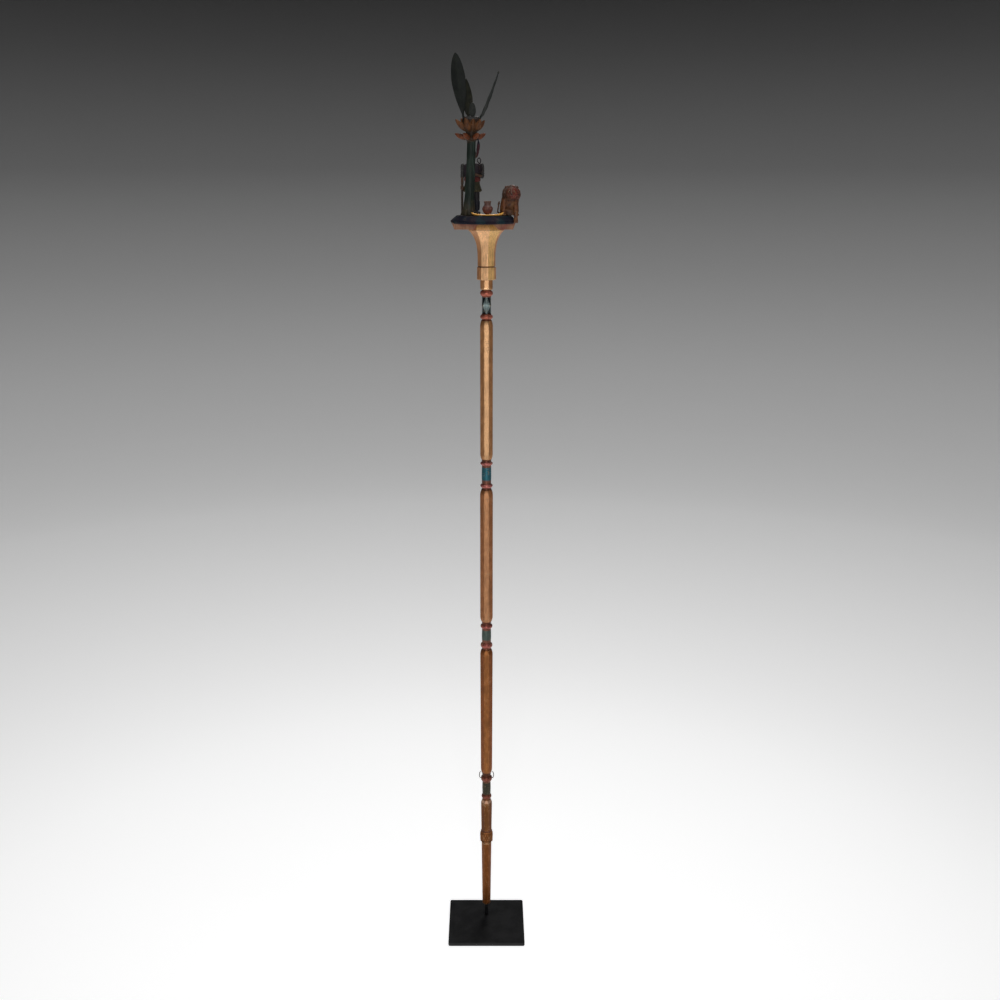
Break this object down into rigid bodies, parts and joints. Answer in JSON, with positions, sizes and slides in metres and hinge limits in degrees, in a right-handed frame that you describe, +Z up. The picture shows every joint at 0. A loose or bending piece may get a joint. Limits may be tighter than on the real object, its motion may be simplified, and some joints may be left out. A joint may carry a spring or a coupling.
{
  "type": "linguist staff",
  "caption": "Painted wooden ceremonial staff with faceted and turned lengths, a flared capital and a carved scene on a round platform, upright on a flat steel stand.",
  "frame": {"origin": "on the axis of the staff, at the underside of the stand's base plate", "axes": "+Z up along the staff, -Y towards the viewer of the carved scene, +X to that viewer's right"},
  "size_m": [0.1524, 0.1615, 1.6929],
  "materials": {
    "stand_steel": "blackened steel plate, matt, faintly mottled with a worn edge",
    "rod_steel": "blackened round rod, satin",
    "brown_gold_paint": "carved wood under worn brown-gold paint",
    "gold_paint": "carved wood under worn gold-brown paint, with dusty red beads and grey-blue bands",
    "bent_wire": "dull bent iron wire",
    "platform_paint": "dark blue paint on the upper tier, worn gold and dusty red on the lower",
    "tree_paint": "dark green trunk, olive-brown roots and orange-brown fruit, hand painted",
    "leaf_paint": "dark green to olive and grey paint on thin carved wood",
    "bud_paint": "dark wine red paint with a navy top",
    "farmer_paint": "dark hand painted dress, skin and boots on carved wood",
    "rope_paint": "dark stiff twisted strand",
    "mat_paint": "yellow paint with a green lower edge",
    "pot_paint": "pinkish brown neck and dull crimson belly",
    "lion_paint": "reddish brown paint, red on the muzzle"
  },
  "bodies": {
    "root": {"base_plate": "stand_steel", "stand_rod": "rod_steel", "lower_shaft": "brown_gold_paint", "upper_shaft": "gold_paint", "wire_pin": "bent_wire", "capital": "gold_paint", "platform": "platform_paint", "plantain_tree": "tree_paint", "tall_leaf": "leaf_paint", "olive_leaf": "leaf_paint", "short_leaf": "leaf_paint", "narrow_leaf": "leaf_paint", "flower_bud": "bud_paint", "farmer": "farmer_paint", "rope_coil": "rope_paint", "mat": "mat_paint", "palm_wine_pot": "pot_paint", "lion": "lion_paint"}
  },
  "joints": []
}
